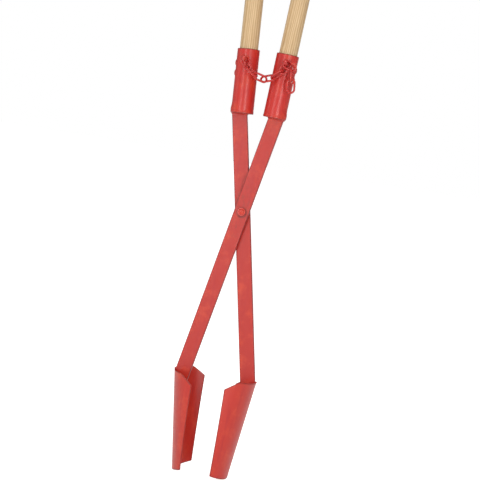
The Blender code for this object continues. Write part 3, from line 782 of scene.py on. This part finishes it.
class DIGGER_OT_screws(Operator):
    """Low round-headed screws with a slot, on each socket's outer side"""
    bl_idname = "digger.screws"
    bl_label = "Screws"

    def execute(self, context):
        s = context.scene.digger_sockets
        head, rise, inner = s.screw_head, s.screw_rise, 0.018
        a = np.linspace(0, pi / 2, 14)
        dome = np.column_stack([head * np.sin(a), s.radius + rise * np.cos(a)])
        profile = np.vstack([dome, [(head, s.radius - 0.0008), (0.003, s.radius - 0.0008),
                                    (0.003, inner), (0, inner)]])
        for half in HALVES:
            for level, drop in (("upper", s.upper_screw), ("lower", s.lower_screw)):
                points, faces = turned(profile, 64)
                # the slot: the head sinks by 0.9 mm where |x| is under 0.7 mm
                top = points[:, 2] > s.radius + 0.0002
                deep = 0.0009 / (1 + np.exp((np.abs(points[:, 0]) - 0.0007) / 0.00008))
                points[:, 2] -= np.where(top, deep, 0)
                place = (socket_place(half.side) @ Matrix.Translation((0, 0, s.tall - drop))
                         @ Matrix.Rotation(half.side * pi / 2, 4, "Y")
                         @ Matrix.Rotation(0.5 if level == "upper" else 1.9, 4, "Z"))
                name = f"{half.where}_{level}_screw"
                make_piece(name + "_head", placed(points, place), faces, half.body,
                           finish_of("bolt_paint"), [name])
        return {"FINISHED"}


# ---------------------------------------------------------------- blades

def soft_min(a, b, width):
    """The smaller of a and b, with their meeting rounded over the width."""
    return (a + b - np.sqrt((a - b) ** 2 + width ** 2)) / 2


def blade_middle(u, v):
    """The middle of the sheet. u runs round the trough from -1 to 1 and v from the top
    edge, 0, to the foot, 1. The half angle is acos(1 - d/R) for the depth d of the
    straight free edge at v. The top edge is nearly level, then slants down, and its
    height grows with y; the foot rises evenly from the heel to the free corners."""
    b = bpy.context.scene.digger_blades
    r = b.radius - b.thickness / 2
    trim = b.thickness / 2
    d = (b.top_depth + (b.foot_depth - b.top_depth) * v) - trim
    reach = np.arccos(1 - d / r)
    angle = u * reach
    x = r * (1 - np.cos(angle))
    depth, y = x + trim, r * np.sin(angle)
    level = -b.crown_drop * depth / b.crown
    steep = (b.shoulder - b.crown_drop) / (b.top_depth - b.crown)
    top = (soft_min(level, -b.crown_drop - steep * (depth - b.crown), 0.0008)
           + tan(b.top_tilt) * y)
    foot = -b.tall - b.heel * (1 - depth / b.foot_depth)
    z = top * (1 - v) + foot * v
    z = z + trim * (2 * v - 1)
    return np.stack([depth, y, z], axis=-1)


def sheet_skin(middle, thickness, rim_steps=6):
    """A sheet of even thickness t round a grid of middle points: the two faces are
    M + n t/2 and M - n t/2, and the rim between them bulges by t/2 along the sheet,
    M + n t/2 c + e t/2 s, with c = cos a |cos a|^-0.4 and s = sin a^0.6."""
    rows, cols = middle.shape[:2]
    du, dv = np.gradient(middle, axis=1), np.gradient(middle, axis=0)
    normal = np.cross(du, dv)
    normal /= np.linalg.norm(normal, axis=2)[..., None]
    h = thickness / 2
    # the rim's points in order round the grid, and the directions out of it
    r = np.concatenate([np.zeros(cols - 1), np.arange(rows - 1), np.full(cols - 1, rows - 1),
                        np.arange(rows - 1, 0, -1)]).astype(int)
    c = np.concatenate([np.arange(cols - 1), np.full(rows - 1, cols - 1),
                        np.arange(cols - 1, 0, -1), np.zeros(rows - 1)]).astype(int)
    edge, face = middle[r, c], normal[r, c]
    ahead = np.roll(edge, -1, axis=0) - np.roll(edge, 1, axis=0)
    out = np.cross(ahead, face)
    out /= np.linalg.norm(out, axis=1)[:, None]
    inside = middle[np.clip(r, 1, rows - 2), np.clip(c, 1, cols - 2)] - edge
    out *= -np.sign(np.einsum("ij,ij->i", out, inside))[:, None]
    a = np.linspace(0, pi, rim_steps + 1)[1:-1]
    lift = np.sign(np.cos(a)) * np.abs(np.cos(a)) ** 0.6
    bulge = np.sin(a) ** 0.6
    rim = (edge[None] + h * lift[:, None, None] * face[None]
           + h * bulge[:, None, None] * out[None])
    points = np.vstack([(middle + normal * h).reshape(-1, 3),
                        (middle - normal * h).reshape(-1, 3), rim.reshape(-1, 3)])
    count, loop = rows * cols, len(r)
    quads = grid_quads(rows, cols, False, False)
    ring = r * cols + c
    levels = np.vstack([ring, 2 * count + np.arange(len(a) * loop).reshape(len(a), loop),
                        ring + count])
    strip = grid_quads(len(levels), loop, False, True)
    strip = levels.ravel()[strip]
    wear = np.concatenate([np.zeros(2 * count), np.ones(len(a) * loop)])
    wear[ring], wear[ring + count] = 0.8, 0.8
    return points, quads, quads[:, ::-1] + count, strip, wear


class DIGGER_OT_blades(Operator):
    """Curved sheet troughs with slanted shoulders and rounded edges"""
    bl_idname = "digger.blades"
    bl_label = "Blades"

    def execute(self, context):
        b = context.scene.digger_blades
        p = plan_half()
        ease = np.sin(np.linspace(-pi / 2, pi / 2, 97))
        u = 0.35 * ease + 0.65 * np.linspace(-1, 1, 97)
        v = np.linspace(0, 1, 121)
        middle = blade_middle(u[None, :], v[:, None])
        for half in HALVES:
            x = p.web_top[0] + middle[..., 0] * p.web_in[0] - middle[..., 2] * p.web_down[0]
            z = p.web_top[1] + middle[..., 0] * p.web_in[1] - middle[..., 2] * p.web_down[1]
            grid = np.stack([half.side * x, half.side * middle[..., 1], z], axis=-1)
            points, front, back, strip, wear = sheet_skin(grid, b.thickness)
            foot = np.clip((points[:, 2].min() + 0.020 - points[:, 2]) / 0.020, 0, 1)
            faces = matched(points, front, back, strip)
            make_piece(half.blade + "_sheet", points, faces, half.body,
                       finish_of("blade_paint"), [half.blade], wear * (0.45 + 0.55 * foot))
        return {"FINISHED"}


def matched(points, front, back, strip):
    """The rim strip wound as the two faces are: its first quad must cross the shared
    edge the other way round."""
    shared = {(a, b) for a, b in zip(front.ravel(), np.roll(front, -1, axis=1).ravel())}
    first = strip[0]
    same = any((a, b) in shared for a, b in zip(first, np.roll(first, -1)))
    return [front, back, strip[:, ::-1] if same else strip]


# ---------------------------------------------------------------- pivot

class DIGGER_OT_pivot(Operator):
    """Domed bolt, washers and hex nut"""
    bl_idname = "digger.pivot"
    bl_label = "Pivot"

    def execute(self, context):
        s, arms = context.scene.digger_pivot, context.scene.digger_arms
        paint = finish_of("bolt_paint")
        face = arms.spacing / 2 + arms.bar_thickness
        under = face + s.washer_thick
        end = under + s.nut_tall + s.bolt_end
        to_front = Matrix.Translation(JOINTS["spread"]) @ Matrix.Rotation(pi / 2, 4, "X")

        a = np.linspace(0, pi / 2, 16)
        dome = np.column_stack([s.head * np.sin(a), under + 0.0007 + s.head_rise * np.cos(a)])
        # a small flat dimple in the middle of the peened head
        dome[:, 1] -= 0.0013 * np.exp(-(dome[:, 0] / 0.0022) ** 2)
        profile = np.vstack([dome, [(s.head, under), (s.bolt, under), (s.bolt, -end + 0.0008),
                                    (s.bolt - 0.0008, -end), (0, -end)]])
        profile = resample(profile, 0.00025)

        def thread(angles, z, r):
            """A helical thread behind the nut: 0.35 mm times a triangle wave of z/pitch + a/2pi."""
            phase = (z / s.pitch + angles / (2 * pi)) % 1
            wave = np.abs(2 * phase - 1) - 1
            on = (z < -(face + 0.003)) & (r > s.bolt * 0.9)
            return np.where(on, 0.00035 * wave, 0)

        points, faces = turned(profile, 64, thread)
        make_piece("pivot_bolt_fine", placed(points, to_front), faces, "front_half",
                   paint, ["pivot_bolt"])

        for name, low, thick in (("front_washer", face, s.washer_thick),
                                 ("middle_washer", -s.spacer / 2, s.spacer),
                                 ("back_washer", -under, s.washer_thick)):
            inner, cut = s.bolt + 0.0002, min(0.0007, thick * 0.4)
            square = [((inner + s.washer) / 2, low), (s.washer, low), (s.washer, low + thick),
                      (inner, low + thick), (inner, low), ((inner + s.washer) / 2, low)]
            ring = soften(square, (cut, cut, 0.0003, 0.0003), 6)[:-1]
            points, faces = ring_turned(ring, 96)
            wear = np.repeat(ring[:, 0] > s.washer - 0.0006, 96).astype(float)
            make_piece(name + "_fine", placed(points, to_front), faces, "front_half",
                       paint, [name], wear)

        # hex nut: r = min(apothem / cos(angle to the nearest flat), the chamfer's cone)
        across = s.nut / 2
        top, low = -under, -under - s.nut_tall
        levels = np.concatenate([low + np.array([0, .0003, .0006, .0010, .0015]),
                                 top - np.array([.0015, .0010, .0006, .0003, 0])])[::-1]
        angles = np.linspace(0, 2 * pi, 144, endpoint=False)
        flat = across / np.cos((angles + pi / 6) % (pi / 3) - pi / 6)
        away = np.minimum(levels - low, top - levels)
        cone = across + away * 1.75
        outer = soft_min(flat[None, :], cone[:, None] + 0.0002, 0.0001)
        bore = np.full((2, 144), s.bolt + 0.0001)
        radius = np.vstack([bore[:1], outer, bore[1:]])
        height = np.concatenate([[top], levels, [low]])
        rings = np.stack([radius * np.cos(angles), radius * np.sin(angles),
                          np.broadcast_to(height[:, None], radius.shape)], axis=2)
        points, faces = skin(rings, closed=True)
        make_piece("pivot_nut_fine", placed(points, to_front), faces, "front_half",
                   paint, ["pivot_nut"], sharp=35)
        return {"FINISHED"}


# ---------------------------------------------------------------- hooks and chain

class DIGGER_OT_hooks(Operator):
    """Round rods welded on the sockets' fronts and turned up at the end"""
    bl_idname = "digger.hooks"
    bl_label = "Hooks"

    def execute(self, context):
        c, s, p = context.scene.digger_chain, context.scene.digger_sockets, plan_half()
        for name, body, joint, depth in (
                ("left_hook", "back_half", "link_1_turn", p.depth),
                ("right_hook", "front_half", "link_6_turn", -p.depth)):
            where = JOINTS[joint]
            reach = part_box(name)[0].y + c.hook
            start = depth - s.radius + 0.0012
            a = np.linspace(0, pi / 2, 20)
            bend = np.column_stack([reach - c.hook_bend * np.sin(a),
                                    c.hook_bend * (1 - np.cos(a))])
            straight = np.column_stack([np.linspace(start, reach, 40)[:-1], np.zeros(39)])
            rise = np.column_stack([np.full(4, reach - c.hook_bend),
                                    c.hook_bend + np.linspace(0, c.hook_rise - c.hook, 4)])
            # the bend starts where the straight part ends
            line = np.vstack([straight[straight[:, 0] > reach][:-1], bend, rise[1:]])
            q = np.linspace(0, pi / 2, 8)[1:-1]
            tip = np.column_stack([np.full(6, reach - c.hook_bend),
                                   rise[-1, 1] + c.hook * np.sin(q)])
            line = np.vstack([line, tip])
            path = np.column_stack([np.zeros(len(line)), line]) + (where.x, 0, where.z)
            radius = np.full(len(line), c.hook)
            radius[-6:] = c.hook * np.cos(q)
            away = line[:, 0].max() - line[:, 0]
            root = np.exp(-away / (c.hook_weld * 0.45)) * (np.arange(len(line)) < 40)
            angles = np.linspace(0, 2 * pi, 32, endpoint=False)[None, :]
            lumps = 1 + 0.10 * np.sin(9 * angles)
            radius = radius[:, None] + c.hook_weld * root[:, None] * lumps
            points, faces = swept(path, radius, (1, 0, 0), 32)
            make_piece(name + "_rod", points, faces, body,
                       finish_of("chain_paint"), [name])
        return {"FINISHED"}


def link_surface():
    """A link along X: its wire runs round a stadium of two straights and two half
    circles, with the flash of its butt weld, 0.25 mm exp(-(s/1.2 mm)^2), on one side."""
    c = bpy.context.scene.digger_chain
    turn = (c.inner_width + c.wire) / 2
    straight = (c.inner_length + c.wire) / 2 - turn
    a = np.linspace(-pi / 2, pi / 2, 25)
    side = np.linspace(-1, 1, 15)[1:-1]
    right = np.column_stack([straight + turn * np.cos(a), turn * np.sin(a)])
    top = np.column_stack([-straight * side, np.full(13, turn)])
    path = np.vstack([right, top, -right, -top])
    path = np.column_stack([path[:, 0], np.zeros(len(path)), path[:, 1]])
    near = (path[:, 2] > turn * 0.99) * np.exp(-(path[:, 0] / 0.0012) ** 2)
    return swept(path, c.wire / 2 + c.flash * near, (0, 1, 0), 20, closed=True)


# each link's joint, heading along X, fall below level, turn about its own length and
# how far its hinge lies inside the link before
LINKS = (
    ("chain_link_1", "link_1_turn", 1, 59.3, 0.0, "hook"),
    ("chain_link_2", "link_2_turn", 1, 37.3, -71.0, "link"),
    ("chain_link_3", "link_3_turn", 1, 14.6, 35.0, "link"),
    ("chain_link_6", "link_6_turn", -1, 65.0, 0.0, "hook"),
    ("chain_link_5", "link_5_turn", -1, 40.5, -69.0, "link"),
    ("chain_link_4", "link_4_turn", -1, 18.1, 36.0, "link"),
    ("chain_link_7", "link_7_turn", 1, 20.0, 0.0, "hook"),
    ("chain_link_8", "link_8_turn", 1, 84.0, 90.0, "bend"),
    ("chain_link_9", "link_9_turn", 1, 84.0, 0.0, "link"),
)


class DIGGER_OT_chain(Operator):
    """Nine welded links, six between the hooks and three hanging from the right one"""
    bl_idname = "digger.chain"
    bl_label = "Chain"

    def execute(self, context):
        c = context.scene.digger_chain
        reach = {"hook": c.inner_length - c.hook - c.play, "link": c.inner_length - c.play,
                 "bend": c.inner_length - c.play + c.inner_width / 2}
        points, faces = link_surface()
        for name, joint, heading, fall, roll, held in LINKS:
            fall = radians(fall)
            direction = Vector((heading * cos(fall), 0, -sin(fall)))
            centre = JOINTS[joint] + direction * (reach[held] + (c.play - c.inner_length) / 2)
            place = (Matrix.Translation(centre)
                     @ Matrix.Rotation(fall if heading > 0 else pi - fall, 4, "Y")
                     @ Matrix.Rotation(radians(roll), 4, "X"))
            body = joint.replace("_turn", "")
            make_piece(name + "_wire", placed(points, place), faces, body,
                       finish_of("chain_paint"), [name])
        return {"FINISHED"}


# ---------------------------------------------------------------- stage

def soft_box(name, azimuth, elevation, distance, wide, tall, power):
    """An area light on a sphere round the pivot, facing it."""
    data = bpy.data.lights.new(name, "AREA")
    data.shape, data.size, data.size_y, data.energy = "RECTANGLE", wide, tall, power
    lamp = bpy.data.objects.new(name, data)
    a, e = radians(azimuth), radians(elevation)
    back = Vector((sin(a) * cos(e), -cos(a) * cos(e), sin(e)))
    lamp.location = back * distance
    lamp.rotation_euler = (-back).to_track_quat("-Z", "Y").to_euler()
    lamp.visible_camera = False
    bpy.context.scene.collection.objects.link(lamp)


class DIGGER_OT_stage(Operator):
    """Pale floor, white surroundings, soft boxes and the camera"""
    bl_idname = "digger.stage"
    bl_label = "Stage"

    def execute(self, context):
        s, scene = context.scene.digger_studio, context.scene
        scene.view_settings.view_transform = "Standard"
        material, tree = blank_material("matt_floor_paint")
        speckle = add_node(tree, "TexNoise", {
            "Vector": add_node(tree, "TexCoord", {}, "Object"), "Scale": 1000 / 3, "Detail": 3.0})
        seen = add_node(tree, "LightPath", {}, "Is Camera Ray")
        mirrored = add_node(tree, "LightPath", {}, "Is Glossy Ray")
        mirrored = add_node(tree, "Math", {0: mirrored, 1: s.floor_sheen}, operation="MULTIPLY")
        glow = add_node(tree, "Math", {0: seen, 1: s.floor_glow, 2: mirrored},
                        operation="MULTIPLY_ADD")
        shader = add_node(tree, "BsdfPrincipled", {
            "Base Color": linear(s.floor), "Roughness": 0.9,
            "Emission Color": (1.0, 1.0, 1.0, 1.0), "Emission Strength": glow,
            "Normal": add_node(tree, "Bump", {
                "Height": speckle, "Strength": 0.1, "Distance": 0.0005})})
        add_node(tree, "OutputMaterial", {"Surface": shader})
        half = s.floor_size / 2
        mesh = bpy.data.meshes.new("floor")
        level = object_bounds()[0].z - s.floor_gap
        mesh.from_pydata([(-half, -half, level), (half, -half, level), (half, half, level),
                          (-half, half, level)], [], [(0, 1, 2, 3)])
        mesh.materials.append(material)
        floor = bpy.data.objects.new("floor", mesh)
        scene.collection.objects.link(floor)
        floor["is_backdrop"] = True

        world = bpy.data.worlds.new("white_room")
        scene.world = world
        world.use_nodes = True
        tree = world.node_tree
        tree.nodes.clear()
        depth = add_node(tree, "SeparateXYZ", {0: add_node(tree, "TexCoord", {}, "Generated")}, "Y")
        mirrored = add_node(tree, "LightPath", {}, "Is Glossy Ray")
        behind = add_node(tree, "MapRange", {0: mirrored, 3: s.sky_back, 4: s.sky_rim})
        strength = add_node(tree, "MapRange", {0: depth, 1: -0.8, 2: 0.8, 3: s.sky_front,
                                               4: behind}, interpolation_type="SMOOTHSTEP")
        room = add_node(tree, "Background", {"Color": (1, 1, 1, 1), "Strength": strength})
        seen = add_node(tree, "Background", {"Color": (1, 1, 1, 1), "Strength": 1.0})
        both = add_node(tree, "MixShader", {
            0: add_node(tree, "LightPath", {}, "Is Camera Ray"), 1: room, 2: seen})
        add_node(tree, "OutputWorld", {"Surface": both})

        soft_box("front_strip", -18.0, 8.0, 2.2, 0.4, 1.6, s.front)
        soft_box("right_strip", 30.0, 0.0, 2.4, 0.4, 1.0, s.right)
        soft_box("top_box", 5.0, 60.0, 2.6, 1.2, 1.2, s.top)
        soft_box("back_box", 172.0, 24.0, 2.6, 1.0, 1.4, s.back)
        soft_box("left_box", -75.0, 12.0, 3.0, 0.8, 2.0, s.left)

        a, e, r = s.azimuth, s.elevation, s.roll
        back = Vector((sin(a) * cos(e), -cos(a) * cos(e), sin(e)))
        right = Vector((cos(a), sin(a), 0))
        up = back.cross(right)
        picture_right = right * cos(r) + up * sin(r)
        picture_up = up * cos(r) - right * sin(r)
        data = bpy.data.cameras.new("camera")
        data.sensor_width, data.lens = 36.0, s.lens
        camera = bpy.data.objects.new("camera", data)
        turn = Matrix((picture_right, picture_up, back)).transposed().to_4x4()
        camera.matrix_world = Matrix.Translation(Vector(s.eye)) @ turn
        scene.collection.objects.link(camera)
        scene.camera = camera
        return {"FINISHED"}


OPERATORS = (DIGGER_OT_arms, DIGGER_OT_sockets, DIGGER_OT_handles, DIGGER_OT_screws,
             DIGGER_OT_blades, DIGGER_OT_pivot, DIGGER_OT_hooks, DIGGER_OT_chain,
             DIGGER_OT_stage)


class DIGGER_PT_panel(Panel):
    bl_label = "Post Hole Digger"
    bl_idname = "DIGGER_PT_panel"
    bl_space_type = "VIEW_3D"
    bl_region_type = "UI"
    bl_category = "Digger"

    def draw(self, context):
        for operator in OPERATORS:
            self.layout.operator(operator.bl_idname)


def register():
    for key, group in GROUPS.items():
        bpy.utils.register_class(group)
        setattr(bpy.types.Scene, key, PointerProperty(type=group))
    for cls in OPERATORS + (DIGGER_PT_panel,):
        bpy.utils.register_class(cls)


def unregister():
    for cls in reversed(OPERATORS + (DIGGER_PT_panel,)):
        bpy.utils.unregister_class(cls)
    for key, group in reversed(GROUPS.items()):
        delattr(bpy.types.Scene, key)
        bpy.utils.unregister_class(group)


def main():
    register()
    bpy.ops.digger.arms()
    bpy.ops.digger.sockets()
    bpy.ops.digger.handles()
    bpy.ops.digger.screws()
    bpy.ops.digger.blades()
    bpy.ops.digger.pivot()
    bpy.ops.digger.hooks()
    bpy.ops.digger.chain()
    bpy.ops.digger.stage()


if __name__ == "__main__":
    main()
